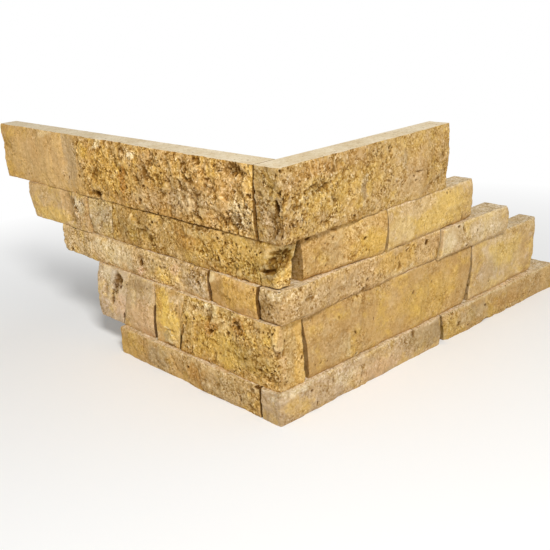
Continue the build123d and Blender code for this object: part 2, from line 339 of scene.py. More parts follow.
add_look("third_course_left_end_strip", "beige", (1.30, 1.38, 1.52), free=True, rough=(0.72, 0.7),
    groove=0.8, crest=0.3, pits=1.2, lean=8,
    large_pits=[(120.6, 73.2, 1.7, 2.7, 2.4)],
    hollows=[(53.5, 76, 4, 3, 1.2), (98, 79.2, 12, 2.6, 1.2), (130, 70, 14, 8, -0.8)],
    holes=[(100, 74, 10, 4, 0.08), (60, 72, 10, 5, 0.08)],
    tints={
        "gold": [(95, 69, 8, 6, 0.6)], "ochre": [(176, 70, 8, 4, 0.4)],
        "pale": [(160, 73, 30, 9, 0.5), (137, 69, 7, 5, 0.5)], "grey": [(60, 71, 14, 8, 0.5)],
        "brown": [(120.6, 74, 3, 3.5, 0.5)], "moss": [(106, 73, 6, 5, 0.4)],
        "rose": [(120, 67.8, 5, 4, 0.9), (84, 73, 7, 4, 0.6)]})
add_look("third_course_right_corner_strip", "beige", (1.00, 1.01, 1.02), laps=True, rough=(0.7, 0.3),
    crest=0.9, dark=0.6, foot=2, pits=1.1, lean=-20, rounding=(3, 0.8),
    large_pits=[(54.7, 69.4, 1, 1.3, 1.5), (51.9, 64.4, 0.8, 1.4, 1.5), (115.3, 77.6, 1.8, 1.8, 1.4)],
    hollows=[(-18, 82.5, 13, 7, 2, 8, 1.3)],
    tints={
        # The first pale patch is painted highlight on the broken chamfer at the top of the lapping end.
        "gold": [(85, 72, 24, 8, 0.5)], "pale": [(-22, 80.5, 16, 4.5, 0.7), (93, 65, 16, 3, 0.4)],
        "grey": [(20, 70, 40, 8, 0.35)], "brown": [(-36, 69, 7, 7, 0.35), (126, 72, 2.2, 9, 0.5)]})
add_look("third_course_right_end_strip", "beige", (1.03, 1.13, 1.34), free=True, rough=(0.25, 0.08),
    crest=0.7, dark=0.5, seam=-2.6, foot=2, pits=0.6, lean=-10, rounding=(1.4, 0.8),
    large_pits=[(147.6, 80.6, 2.2, 0.9, 1), (171.3, 72.6, 1.3, 0.9, 1.3), (160, 65, 1.4, 1, 1.1)],
    tints={"pale": [(136, 70, 9, 9, 0.35), (180, 72, 24, 8, 0.25)]})
add_look("fourth_course_left_corner_strip", "golden", (1.23, 1.30, 1.26), laps=True, rough=(0.82, 0.8),
    crest=0.25, rough_end=0.4, pits=1.4, lean=12, shut_above=40, rounding=(1.2, 0.4),
    large_pits=[(20.6, 53.6, 2.6, 2.6, 1.2), (47.4, 43, 2.4, 2, 1.1), (31.2, 45.7, 1.2, 2, 1, 20),
        (69.2, 25.1, 1, 0.8, 1.3), (63.2, 48.1, 1.1, 0.9, 1.4), (-12.6, 29, 1.6, 1, 1),
        (74.2, 49.8, 0.9, 0.9, 1.4), (71.8, 47, 1, 1.6, 1.5, -20), (71, 43, 1.3, 1.3, 1.6),
        (73.8, 38.5, 0.9, 3.2, 1.4, -8)],
    hollows=[(21, 54, 6, 5, 1.2), (47, 43, 6, 4, 0.9), (72, 45, 3.4, 6, 1.2, -20),
        (75.5, 32, 2, 11, 1.5, -6), (-14, 24, 12, 6, 0.9)],
    holes=[(20.5, 52.5, 6, 5, 0.35), (47, 44, 5, 4.5, 0.3), (-11, 55, 4, 6, 0.14), (-9, 38, 5, 12, 0.06),
        (-19, 40, 5, 18, 0.05), (30, 45, 5, 5, 0.1)],
    tints={
        "gold": [(40, 34, 30, 12, 0.5)], "ochre": [(20.6, 53, 7, 6, 0.9), (47, 45, 6, 7, 0.8)],
        "beige": [(64, 57, 22, 4, 0.8)], "pale": [(50, 59.5, 8, 2, 0.6)], "grey": [(-21, 40, 9, 28, 0.4)],
        "brown": [(20, 52, 5, 4, 0.3), (76, 33, 1.8, 10, 0.6), (-22, 40, 9, 28, 0.25)],
        "moss": [(10, 36, 26, 8, 0.35)], "rose": [(-18, 44, 4, 20, 0.3)]})
add_look("fourth_course_left_golden_strip", "golden", (1.39, 1.52, 1.72), rough=(0.25, 0.1), crest=0.3,
    pits=0.5, lean=5, shut_above=40, rounding=(0.5, 1.8),
    hollows=[(90, 31.8, 9, 1.4, 0.8, 8), (90, 24, 11, 4, -0.5), (88, 20.4, 12, 2.6, 1.2)],
    tints={
        "gold": [(98, 46, 10, 16, 1), (88, 38, 10, 8, 0.8)], "ochre": [(103, 50, 4, 11, 0.45)],
        "beige": [(84, 56, 10, 5, 0.8)], "pale": [(90, 30, 9, 1.1, 0.7)], "grey": [(90, 24, 9, 4, 0.4)],
        "moss": [(91, 24, 11, 4.5, 0.4)]})
add_look("fourth_course_left_grey_strip", "grey", (1.27, 1.33, 1.36), rough=(0.2, 0.2), crest=0.4, pits=0.6,
    lean=3, shut_above=45, rounding=(1.4, 1.2),
    large_pits=[(143.4, 26.7, 0.8, 2.2, 1.4), (142.6, 59.8, 1.2, 1.2, 1)],
    hollows=[(147, 57, 5, 4, 1.2), (130, 42, 3, 12, 0.6, 6), (120, 36, 2.5, 12, 0.5, -4)],
    tints={
        "ochre": [(121, 36, 3, 4, 0.2)], "beige": [(112, 40, 6, 14, 0.4)], "pale": [(134, 44, 3, 11, 0.3)],
        "grey": [(112, 52, 5, 7, 0.5)], "brown": [(128, 55, 14, 4.5, 0.35), (123, 43, 3, 5, 0.25)],
        "rose": [(124, 34, 18, 14, 0.5), (119, 23, 12, 4, 0.6)]})
add_look("fourth_course_left_end_strip", "grey", (1.32, 1.45, 1.75), free=True, rough=(0.3, 0.45), pits=1.1,
    lean=4, shut_above=45, rounding=(1.4, 2.6),
    large_pits=[(151.8, 53, 1.4, 2.6, 1.8), (145, 26.7, 1, 2.4, 1.8)],
    hollows=[(156.5, 51, 6.5, 9.5, 1.6, -16, 1.2), (160.5, 38.5, 3.4, 7, 1.4, -10),
        (169, 44, 3, 14, 1.2, 5), (184, 37, 7, 4, 3), (186, 21, 9, 3, 2)],
    crumbled=[(156.5, 51, 5, 8.5, 2.4, -18), (160.5, 38.5, 2.8, 6, 1.8, -10)],
    holes=[(156, 50, 4.5, 8, 0.3), (160, 38, 2.6, 5, 0.2)],
    tints={
        "gold": [(176, 40, 5, 12, 0.4)], "pale": [(168, 55, 8, 6, 0.4)], "grey": [(160, 52, 5, 9, 0.8)],
        "brown": [(156, 51, 5.2, 9, 0.6), (160.5, 38.5, 3.2, 6.5, 0.5)], "rose": [(150, 34, 12, 10, 0.5)]})
add_look("fourth_course_right_inner_strip", "tan", (0.93, 0.97, 0.98), rough=(0.25, 0.15), groove=0.2,
    crest=0.3, dark=0.4, foot=0.8, pits=0.7, lean=-18, rounding=(1, 1.6),
    large_pits=[(43.6, 37.2, 0.8, 2, 1.1, -25), (45.3, 22, 1.4, 1, 0.8), (62.4, 40.2, 0.6, 1.5, 0.9),
        (101.5, 46.3, 0.7, 2, 0.8, -15), (122.9, 47.6, 0.6, 1.2, 0.8)],
    hollows=[(140, 40, 20, 24, -0.7), (30, 40, 20, 14, 0.6)],
    tints={
        "gold": [(118, 40, 36, 16, 0.4)], "pale": [(38, 30, 3, 8, 0.4), (45.3, 21, 3, 2, 0.8)],
        "grey": [(27, 32, 16, 8, 0.3)]})
add_look("fourth_course_right_end_strip", "golden", (1.08, 1.24, 1.68), free=True, rough=(0.12, 0.05),
    crest=0.4, dark=0.4, foot=0.8, pits=0.5, lean=-10, rounding=(1.4, 2.2),
    hollows=[(236, 44, 16, 22, 1.8), (182, 34, 12, 10, 0.6)],
    tints={
        "gold": [(215, 48, 26, 12, 0.5)], "beige": [(205, 56, 20, 5, 0.5)],
        "grey": [(190, 38, 14, 12, 0.25)], "brown": [(196, 40, 8, 8, 0.12)]})
add_look("bottom_course_left_strip", "tan", (1.05, 1.09, 1.06), free=True, rough=(0.75, 0.2), crest=0.5,
    pits=0.8, lean=6, stretch=2.4,
    large_pits=[(69.7, 13, 1.2, 1, 1.3), (2.4, 19.2, 3.4, 1.2, 1.8)],
    hollows=[(80.9, 6, 7, 5, 0.8)],
    tints={
        "gold": [(138, 8, 14, 10, 0.3)], "ochre": [(62, 10, 10, 7, 0.5)], "beige": [(46, 18, 50, 2.2, 0.8)],
        "grey": [(104, 9, 14, 12, 0.6), (30, 8, 26, 9, 0.5)]})
add_look("bottom_course_right_corner_strip", "grey", (0.99, 1.05, 1.18), laps=True, rough=(0.3, 0.22),
    crest=0.8, dark=0.45, pits=0.7, lean=-10, rounding=(1.2, 4),
    large_pits=[(6.1, 4.6, 0.7, 1.6, 1)],
    hollows=[(-22, 20, 14, 4.5, 1.8, 0, 1.2)],
    tints={
        "beige": [(60, 10, 30, 8, 0.5)], "pale": [(30, 12, 12, 5, 0.4), (-16, 18, 18, 3, 0.6)],
        "moss": [(112, 12, 24, 8, 0.4)], "rose": [(66, 6, 24, 6, 0.4)]})
add_look("bottom_course_right_end_strip", "tan", (0.91, 0.99, 1.10), free=True, rough=(0.35, 0.18),
    crest=0.8, dark=0.45, pits=0.5, lean=-10, rounding=(2, 0.8),
    large_pits=[(184.4, 12.5, 1.3, 1, 1.3)],
    hollows=[(184, 0.4, 6, 1.6, 1.8, 0, 1)],
    tints={
        "gold": [(140, 10, 10, 8, 0.5)], "ochre": [(215, 8, 30, 5, 0.3)], "grey": [(168, 11, 20, 7, 0.4)]})


def lattice(column, row, seed):
    """A fixed random number from 0 to 1 for each whole-numbered point."""
    n = (column * 374761393 + row * 668265263 + seed * 974634777) & 0xFFFFFFFF
    n = ((n ^ (n >> 13)) * 1274126177) & 0xFFFFFFFF
    return (n ^ (n >> 16)) / 4294967296


def blended(value, i, j, right, up):
    """Smooth blend of the values at a cell's four corners, at shares of its width and height."""
    right = ease(right)
    up = ease(up)
    low = value(i, j) * (1 - right) + value(i + 1, j) * right
    high = value(i, j + 1) * (1 - right) + value(i + 1, j + 1) * right
    return low * (1 - up) + high * up


def noise(x, y, seed):
    """Smooth random field from -1 to 1, a lattice unit between its knots."""
    column = np.floor(x).astype(np.int64)
    row = np.floor(y).astype(np.int64)
    return 2 * blended(lambda i, j: lattice(i, j, seed), column, row, x - column, y - row) - 1


def line_noise(x, seed):
    """Smooth random values along a line, a unit between its knots."""
    return noise(x, 0 * x, seed)


def fractal(x, y, seed, octaves=4):
    """Sum of ever finer fields, each half as strong as the one before."""
    total = 0
    weight = 1
    for octave in range(octaves):
        scale = 2.03 ** octave
        total = total + weight * noise(x * scale, y * scale, seed + 17 * octave)
        weight *= 0.5
    return total


def scattered(x, y, seed):
    """For each scattered point near a place: its column and row, and how far off it is."""
    column = np.floor(x).astype(np.int64)
    row = np.floor(y).astype(np.int64)
    for step_x in (-1, 0, 1):
        for step_y in (-1, 0, 1):
            i = column + step_x
            j = row + step_y
            yield i, j, x - i - lattice(i, j, seed), y - j - lattice(i, j, seed + 1)


def cleft(x, y, seed, sharp=9.0):
    """Tilted facets about a unit across, as stone leaves where it splits."""
    weights = 0
    heights = 0
    for i, j, away_x, away_y in scattered(x, y, seed):
        height = 2 * lattice(i, j, seed + 2) - 1
        height = height + away_x * (2 * lattice(i, j, seed + 3) - 1)
        height = height + away_y * (2 * lattice(i, j, seed + 4) - 1)
        weight = np.exp(-sharp * (away_x ** 2 + away_y ** 2))
        weights = weights + weight
        heights = heights + weight * height
    return heights / weights


def lumps(x, y, seed):
    """Rounded grains about a unit across: 1 on their tops, falling to narrow creases between them."""
    nearest = 9.0
    for _, _, away_x, away_y in scattered(x, y, seed):
        nearest = np.minimum(nearest, away_x ** 2 + away_y ** 2)
    return np.clip(1 - 1.15 * nearest, 0, 1)


def ease(value):
    """Smooth step from 0 to 1."""
    value = np.clip(value, 0, 1)
    return value * value * (3 - 2 * value)


def between(low, high, share):
    return low + (high - low) * share


def blur(grid, reach):
    """Mean over a square of points, a number of points to each side."""
    for axis in (0, 1):
        edge = [(0, 0), (0, 0)]
        edge[axis] = (reach + 1, reach)
        sums = np.cumsum(np.pad(grid, edge, mode="edge"), axis=axis)
        width = 2 * reach + 1
        if axis == 0:
            grid = (sums[width:] - sums[:-width]) / width
        else:
            grid = (sums[:, width:] - sums[:, :-width]) / width
    return grid


class Outline:
    """A strip's sawn outline and the run of its split face, read from its CAD node."""

    def __init__(self, name, look):
        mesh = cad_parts[name].data
        points = np.empty(len(mesh.vertices) * 3)
        mesh.vertices.foreach_get("co", points)
        points = points.reshape(-1, 3) / MM
        self.name = name
        self.look = look
        self.right = "_right_" in name
        x, y, self.up = points.T
        self.along, self.out = (x, -y) if self.right else (y, -x)
        self.lower = self.up.min()
        self.upper = self.up.max()
        self.near = self.bed_ends(min)
        self.far = self.bed_ends(max)
        self.polygons = [tuple(p.vertices) for p in mesh.polygons]
        self.read_thickness()

    def bed_ends(self, pick):
        """The end of the strip at its lower and its upper bed."""
        ends = []
        for bed in (self.lower, self.upper):
            at_bed = np.abs(self.up - bed) < BED_TOLERANCE
            ends.append(pick(self.along[at_bed]))
        return ends

    def read_thickness(self):
        """The split face's distance from the back, on a coarse net, with the facets half smoothed away."""
        tree = BVHTree.FromPolygons([Vector(p) for p in zip(self.along, self.out, self.up)], self.polygons)
        self.net_along, self.net_up = (
            np.linspace(start, end, max(3, round((end - start) / BASE_SPACING)))
            for start, end in ((min(self.near), max(self.far)), (self.lower, self.upper)))
        net = np.empty((len(self.net_up), len(self.net_along)))
        for row, up in enumerate(self.net_up):
            up = min(max(up, self.lower + CLEAR_OF_BED), self.upper - CLEAR_OF_BED)
            low, high = self.ends_at(up)
            for column, along in enumerate(self.net_along):
                along = min(max(along, low + CLEAR_OF_END), high - CLEAR_OF_END)
                net[row, column] = self.face_at(tree, along, up)
        self.net = 0.5 * net + 0.5 * blur(net, 1)

    def face_at(self, tree, along, up):
        """The split face's distance from the back at a place, or further inwards where it has no stone."""
        inwards = math.copysign(INWARD_STEP, self.near[0] + self.far[0] - 2 * along)
        while True:
            hit = tree.ray_cast(Vector((along, RAY_START, up)), Vector((0, -1, 0)))[0]
            if hit:
                return hit.y
            along += inwards

    def ends_at(self, up):
        """Near and far end at a height."""
        rise = (up - self.lower) / (self.upper - self.lower)
        near = self.near[0] + (self.near[1] - self.near[0]) * rise
        far = self.far[0] + (self.far[1] - self.far[0]) * rise
        return near, far

    def thickness(self, along, up):
        """The split face's distance from the back at any place."""
        column = np.interp(along, self.net_along, np.arange(len(self.net_along)))
        row = np.interp(up, self.net_up, np.arange(len(self.net_up)))
        i = np.minimum(column.astype(int), len(self.net_along) - 2)
        j = np.minimum(row.astype(int), len(self.net_up) - 2)
        return blended(lambda i, j: self.net[j, i], i, j, column - i, row - j)


def wedge_cut(outline, up):
    """How far the broken corner of the second course is open behind its lapping end, at a height."""
    share = (up - outline.lower) / (outline.upper - outline.lower)
    return np.interp(share, WEDGE_SHARES, WEDGE_GAPS)


class Skin:
    """The net of points that wraps a strip: from its back round the near end, split face and far end."""

    def __init__(self, outline):
        self.outline = outline
        look = outline.look
        rows = round((outline.upper - outline.lower) / POINT_SPACING)
        up = np.linspace(outline.lower, outline.upper, rows + 1)
        near, far = outline.ends_at(up)
        front_columns = round((far - near).mean() / POINT_SPACING)
        near_out = outline.thickness(near, up)
        far_out = outline.thickness(far, up)
        hidden = np.linspace(0, 1, HIDDEN_END_COLUMNS + 1)[:, None]
        share = 1 - (1 - hidden) ** HIDDEN_END_CROWDING
        if look.laps:
            share = np.linspace(0, 1, round(near_out.mean() / POINT_SPACING) + 1)[:, None]
        cut = 0 * up
        runs = []
        if outline.name == "second_course_left_corner_strip":
            cut = wedge_cut(outline, up)
            inner = np.linspace(0, 1, WEDGE_SIDE_COLUMNS + 1)[:-1, None]
            runs.append((0 * up, cut * inner))
            back = np.linspace(0, 1, WEDGE_RETURN_COLUMNS + 1)[:-1, None]
            runs.append((near * back, cut))
        runs.append((near, cut + (near_out - cut) * share[:-1]))
        face = np.linspace(0, 1, front_columns + 1)[:, None]
        along = near + (far - near) * face
        runs.append((along, outline.thickness(along, up + 0 * along)))
        runs.append((far, far_out * (1 - hidden[1:] ** HIDDEN_END_CROWDING)))
        runs = [np.broadcast_arrays(*run) for run in runs]
        self.along = np.concatenate([along for along, out in runs])
        self.out = np.concatenate([out for along, out in runs])
        self.up = np.broadcast_to(up, self.along.shape)
        self.first = sum(len(along) for along, out in runs[:-2])
        self.last = self.first + front_columns
        self.lead_return = self.first - (len(share) - 1)
        self.start = near.mean()
        self.measure()

    def measure(self):
        """Distance round the skin from the near arris, and which way each point faces."""
        step = np.hypot(np.diff(self.along, axis=0), np.diff(self.out, axis=0)).mean(axis=1)
        run = np.concatenate([[0], np.cumsum(step)])
        run = run - run[self.first]
        self.run = np.broadcast_to(run[:, None], self.along.shape)
        self.x = self.run + FIELD_START
        self.length = run[self.last]
        turn_near = ease(0.5 + run / (2 * ARRIS_TURN))
        turn_far = ease(0.5 + (run - self.length) / (2 * ARRIS_TURN))
        face_along = turn_far - (1 - turn_near)
        face_out = turn_near * (1 - turn_far)
        size = np.hypot(face_along, face_out)
        self.face_along = (face_along / size)[:, None]
        self.face_out = (face_out / size)[:, None]
        self.on_near = (1 - turn_near)[:, None]
        self.on_far = turn_far[:, None]


def turned(x, y, lean):
    """Places across and along a bedding that leans by so many degrees."""
    lean = math.radians(lean)
    return x * math.cos(lean) - y * math.sin(lean), x * math.sin(lean) + y * math.cos(lean)


class Losses:
    """How deep the pits, the hollows and the crumbled patches of a skin are at each point."""

    def __init__(self, skin, seed):
        self.skin = skin
        x = skin.x / RAGGED_LENGTH
        y = skin.up / RAGGED_LENGTH
        self.ragged_x = fractal(x, y, seed, 3)
        self.ragged_y = fractal(x, y, seed + 9, 3)
        self.pit = np.zeros(skin.run.shape)
        self.hollow = np.zeros(skin.run.shape)
        self.crumbled = np.zeros(skin.run.shape)

    def stamp(self, marks):
        """Adds each mark, with a ragged border."""
        run = self.skin.run[:, 0]
        up = self.skin.up[0]
        for mark in marks:
            reach = 1.4 * max(mark.wide, mark.tall) + 0.5
            i0, i1 = np.searchsorted(run, (mark.along - reach, mark.along + reach))
            j0, j1 = np.searchsorted(up, (mark.up - reach, mark.up + reach))
            if i1 <= i0 or j1 <= j0:
                continue
            part = (slice(i0, i1), slice(j0, j1))
            shift = RAGGED_SHIFT * min(mark.wide, mark.tall, RAGGED_LIMIT)
            x = run[i0:i1, None] - mark.along + shift * self.ragged_x[part]
            y = up[None, j0:j1] - mark.up + shift * self.ragged_y[part]
            across, rise = turned(x, y, mark.lean)
            inside = 1 - (across / mark.wide) ** 2 - (rise / mark.tall) ** 2
            dish = mark.deep * np.maximum(inside, 0) ** mark.edge
            if mark.kind == "pit":
                self.pit[part] = np.maximum(self.pit[part], dish)
            elif mark.kind == "crumbled":
                self.crumbled[part] = np.maximum(self.crumbled[part], dish)
            else:
                self.hollow[part] += dish

    def crumble(self, rough, grain, seed):
        """Adds crumbled patches where the stone is rough, and leaves the grains standing in them all."""
        x = self.skin.x
        y = self.skin.up
        where = noise(x / CRUMBLE_LENGTH, y / CRUMBLE_LENGTH, seed)
        where = where + 0.6 * noise(x / CRUMBLE_DETAIL, y / CRUMBLE_DETAIL, seed + 1)
        patch = CRUMBLE_DEPTH * ease((where + 0.8 * rough - CRUMBLE_THRESHOLD) / 0.7)
        self.crumbled = np.maximum(self.crumbled, patch) * np.clip(1.25 - 1.25 * grain, 0.1, 1)


def scattered_pits(skin, rng, crowd):
    """Small holes, single and in clusters, more of them where the stone is rough, a few of them large."""
    look = skin.outline.look
    run = skin.run[:, 0]
    height = skin.outline.upper - skin.outline.lower
    area = (run[-1] - run[0]) * height
    pits = []
    for _ in range(int(area * PITS_PER_AREA * look.pits)):
        along = rng.uniform(run[0], run[-1])
        up = rng.uniform(skin.outline.lower, skin.outline.upper)
        i = min(np.searchsorted(run, along), len(run) - 1)
        j = min(np.searchsorted(skin.up[0], up), skin.up.shape[1] - 1)
        if rng.random() > crowd[i, j]:
            continue
        members = 1 + (rng.integers(*CLUSTER_MEMBERS) if rng.random() < CLUSTER_CHANCE else 0)
        for _ in range(members):
            size = PIT_SIZE + PIT_SIZE_SPREAD * rng.random() ** 3
            size = size + (LARGE_PIT_GROWTH if rng.random() < LARGE_PIT_CHANCE else 0)
            tall = size * rng.uniform(0.7, look.stretch)
            spread = 0 if members == 1 else CLUSTER_SPREAD
            place = (along + spread * rng.normal(), up + spread * rng.normal())
            deep = rng.uniform(*PIT_DEPTHS) + size * 0.6
            pits.append(Mark(*place, size, tall, deep, look.lean + rng.uniform(-PIT_TURN, PIT_TURN)))
    return pits


def opened(marks, rng):
    """Marks with each patch of holes turned into its single pits."""
    single = []
    for mark in marks:
        if mark.kind != "holes":
            single.append(mark)
            continue
        for _ in range(int(math.pi * mark.wide * mark.tall * mark.deep)):
            away = math.sqrt(rng.random())
            turn = rng.uniform(0, math.tau)
            size = rng.uniform(*HOLE_SIZES)
            along = mark.along + away * mark.wide * math.cos(turn)
            up = mark.up + away * mark.tall * math.sin(turn)
            tall = size * rng.uniform(0.8, 1.5)
            deep = rng.uniform(*HOLE_DEPTHS)
            single.append(Mark(along, up, size, tall, deep, rng.uniform(-HOLE_TURN, HOLE_TURN)))
    return single


def face_places(skin, marks):
    """Marks or tints with their place given round the skin in place of along the wall."""
    return [replace(mark, along=mark.along - skin.start) for mark in marks]


def roughness(skin, seed):
    """From 0, smooth, to 1, rough, along the split face, turning where the look says."""
    look = skin.outline.look
    share = np.clip(skin.run / skin.length, 0, 1)
    blend = ease(share * 1.4 - 0.2)
    if look.rough_turn is not None:
        sway = fractal(skin.up / TURN_SWAY_LENGTH, skin.run / TURN_SWAY_LENGTH, seed + 3, 2)
        turn = look.rough_turn - skin.start + TURN_SWAY * sway
        blend = ease((skin.run - turn) / TURN_LENGTH + 0.5)
    rough = between(*look.rough, blend)
    if look.rough_end is not None:
        rough = between(look.rough_end, rough, ease(skin.run / LAP_TURN_LENGTH + 0.5))
    return np.clip(rough + ROUGH_SWING * noise(skin.x / 19, skin.up / 15, seed + 5), 0, 1)


def broken_grain(skin, rough, grain, seed):
    """Waves, facets and grain of the break, outwards, stronger where the stone is rough."""
    x = skin.x
    y = skin.up
    bent = (x / FACET_BEND_LENGTH, y / FACET_BEND_LENGTH)
    bend_x = (x + FACET_BEND * noise(*bent, seed + 31)) / FACET_LENGTH
    bend_y = (y + FACET_BEND * noise(*bent, seed + 37)) / FACET_LENGTH
    facet = cleft(bend_x, bend_y, seed + 40) + 0.5 * cleft(bend_x * 2.4, bend_y * 2.4, seed + 50)
    wave = noise(x / WAVE_LENGTH, y / WAVE_LENGTH, seed)
    return (WAVE_HEIGHT * wave + between(SMOOTH_FACET, ROUGH_FACET, rough) * facet
            + between(SMOOTH_GRAIN, ROUGH_GRAIN, rough) * (grain - 0.5))


def granules(skin, seed):
    """Grains of the broken stone in three sizes, 0 in the creases to 1 on the tops."""
    look = skin.outline.look
    x = skin.x
    y = skin.up
    stirred = (x / GRAIN_STIR_LENGTH, y / GRAIN_STIR_LENGTH)
    stir_x = x + GRAIN_STIR * fractal(*stirred, seed + 61, 3)
    stir_y = y + GRAIN_STIR * fractal(*stirred, seed + 67, 3)
    grain_x, grain_y = turned(stir_x, stir_y, look.lean)
    grain_x = grain_x / GRAIN_LENGTH
    grain_y = grain_y / GRAIN_LENGTH / look.stretch ** 0.4
    total = 0.5 + 0.18 * cleft(grain_x, grain_y, seed + 60, GRAIN_SHARPNESS)
    total = total + 0.24 * cleft(grain_x * 2.3, grain_y * 2.3, seed + 70, GRAIN_SHARPNESS)
    total = total + 0.42 * (lumps(stir_x / LUMP_LENGTH, stir_y / LUMP_HEIGHT, seed + 66) - 0.6)
    return np.clip(total, 0, 1)


def carve(skin, seed):
    """Relief of the skin, outwards and along the wall, and what the shader takes at each point."""
    look = skin.outline.look
    rng = np.random.default_rng(seed)
    rough = roughness(skin, seed)
    crowd = np.clip(0.1 + 0.9 * rough * (0.45 + 1.1 * noise(skin.x / 13, skin.up / 11, seed + 70)), 0.02, 1)
    losses = Losses(skin, seed + 75)
    losses.stamp(scattered_pits(skin, rng, crowd))
    losses.stamp(opened(face_places(skin, look.all_marks()), rng))
    grain = granules(skin, seed)
    losses.crumble(rough, grain, seed + 130)
    sunk = np.maximum(losses.pit, losses.crumbled)
    from_bed = np.minimum(skin.up - skin.outline.lower, skin.outline.upper - skin.up)
    calm = between(BED_CALM, 1, ease(from_bed / BED_CALM_HEIGHT))
    if not look.laps:
        calm = calm * between(END_CALM, 1, ease(skin.run / END_CALM_LENGTH))
    if not look.free:
        calm = calm * between(END_CALM, 1, ease((skin.length - skin.run) / END_CALM_LENGTH))
    shape = calm * broken_grain(skin, rough, grain, seed) - losses.hollow - sunk
    relief = shape - arris_wear(skin, seed)
    if look.free:
        relief = relief - SPLIT_END_SET_BACK * skin.on_far
    rise = shape - blur(shape, RISE_REACH)
    # Painted shade in the joints, the broken corner and the groove under the bed above joins the darkening
    # of the pits.
    joints = np.maximum(joint_shade(skin), GROOVE_SHADE * groove_depth(skin, seed))
    shades = {
        "pit": np.maximum(np.clip(losses.pit / DARK_PIT, 0, 1), joints),
        "cleft": np.clip(losses.crumbled / DARK_CLEFT, 0, 1),
        "grain": grain,
        "rise": np.clip(0.5 + 0.7 * rise, 0, 1),
        "rough": rough,
    }
    return relief, at_ends(skin, relief, seed), shades


def joint_shade(skin):
    """Painted shade inside a joint and inside the broken corner, from about the arris inwards."""
    look = skin.outline.look
    inside_near = np.clip((look.seam - skin.run) / JOINT_EDGE, 0, 1)
    inside_far = np.clip((skin.run - skin.length + look.seam) / JOINT_EDGE, 0, 1)
    if look.laps:
        inside_near = np.clip((skin.run[skin.lead_return, 0] - skin.run) / LAP_WEAR_LENGTH, 0, 1)
    if look.free:
        inside_far = 0 * inside_far
    return look.dark * np.maximum(inside_near, inside_far) * (skin.up < look.shut_above)


def at_ends(skin, relief, seed):
    """Relief along the wall, with butted ends kept flat and just clear of their neighbours."""
    look = skin.outline.look
    butted = -BUTT_CLEARANCE - BUTT_UNEVENNESS * (1 + noise(skin.x / 3, skin.up / 3, seed + 120))
    butted = np.where(skin.up < look.shut_above, butted, 0)
    if not look.laps:
        relief = between(relief, butted, skin.on_near)
    if not look.free:
        relief = between(relief, butted, skin.on_far)
    return relief


def groove_depth(skin, seed):
    """Depth of the groove along the top of a strip, patchy along its length."""
    x = skin.x
    patchy = 0.75 + 0.6 * line_noise(x / 9, seed + 95) + 0.3 * line_noise(x / 2.3, seed + 96)
    patchy = np.clip(patchy, 0, 1.2)
    close = np.clip(1.5 - 1.5 * (skin.outline.upper - skin.up) / GROOVE_HEIGHT, 0, 1)
    return skin.outline.look.groove * patchy * close


def arris_wear(skin, seed):
    """What is lost along the arrises of the split face: nicks and wear at the beds, and rounded ends."""
    outline = skin.outline
    look = outline.look
    x = skin.x
    wear = 0
    for bed, offset in ((outline.upper, 80), (outline.lower, 90)):
        near_bed = np.clip(1 - np.abs(skin.up - bed) / NICK_HEIGHT, 0, 1) ** 2
        nick = NICK_DEPTH + NICK_DEPTH * line_noise(x / 2, seed + offset)
        nick = nick + CHIP_DEPTH * np.clip(line_noise(x / 7, seed + offset + 1) - CHIP_RARITY, 0, 1)
        wear = wear + near_bed * nick
    wear = wear + groove_depth(skin, seed)
    crest = np.clip(1 - (outline.upper - skin.up) / CREST_HEIGHT, 0, 1)
    wear = wear + CREST_WEAR * look.crest * crest ** 1.5
    foot = np.clip(1 - (skin.up - outline.lower) / FOOT_HEIGHT, 0, 1)
    uneven = 1 + 0.4 * line_noise(x / 11, seed + 97)
    wear = wear + look.foot * uneven * foot ** 1.7
    for away, rounding, offset in (
        (np.abs(skin.run), look.rounding[0], 100),
        (np.abs(skin.run - skin.length), look.rounding[1], 110),
    ):
        rounding = rounding * (1 + 0.5 * line_noise(skin.up / 4, seed + offset))
        wear = wear + 0.5 * rounding * np.clip(1 - away / (1.6 * rounding), 0, 1) ** 2
    if look.laps:
        wear = wear + LAP_WEAR * np.clip(1 - (skin.run - skin.run[0]) / LAP_WEAR_LENGTH, 0, 1) ** 2
    return wear


def tint_amounts(skin, seed):
    """How much of each tint, and of the painted highlight along the upper arris, shows at each point, with
    ragged borders.
    """
    x = skin.x
    y = skin.up
    shift_x = 3.0 * fractal(x / 8, y / 8, seed + 200, 3)
    shift_y = 3.0 * fractal(x / 8, y / 8, seed + 210, 3)
    speckle = 0.5 * fractal(x / 2.2, y / 2.2, seed + 220, 3)
    amounts = {kind: np.zeros(x.shape) for kind in TINT_COLOURS}
    # Pale along the upper arris is painted highlight on its worn crest.
    crest = np.clip(1.6 - 1.6 * (skin.outline.upper - y) / CREST_HEIGHT, 0, 1)
    dotted = np.clip(0.7 + 0.7 * fractal(x / 1.7, y / 1.7, seed + 230, 2), 0, 1)
    amounts["pale"] = 0.7 * skin.outline.look.crest * crest * dotted
    for tint in face_places(skin, skin.outline.look.all_tints()):
        away = ((skin.run + shift_x - tint.along) / tint.wide) ** 2
        away = away + ((y + shift_y - tint.up) / tint.tall) ** 2
        patch = tint.amount * ease(1.3 - away + speckle * np.exp(-away))
        amounts[tint.kind] = np.maximum(amounts[tint.kind], patch)
    return amounts


def place(skin, relief, end_relief):
    """Points of the skin on the panel's axes, in metres, kept between the joints and in the CAD box."""
    outline = skin.outline
    along = skin.along + skin.face_along * end_relief
    out = skin.out + skin.face_out * relief
    near, far = outline.ends_at(skin.up)
    if not outline.look.laps:
        along = np.maximum(along, near)
    along = np.minimum(along, far)
    out = np.maximum(out, 0)
    out[0] = 0
    out[-1] = 0
    x, y = (along, -out) if outline.right else (-out, along)
    points = np.stack([x, y, skin.up], axis=-1) * MM
    return np.clip(points, np.array(cad_box[0]), np.array(cad_box[1]))


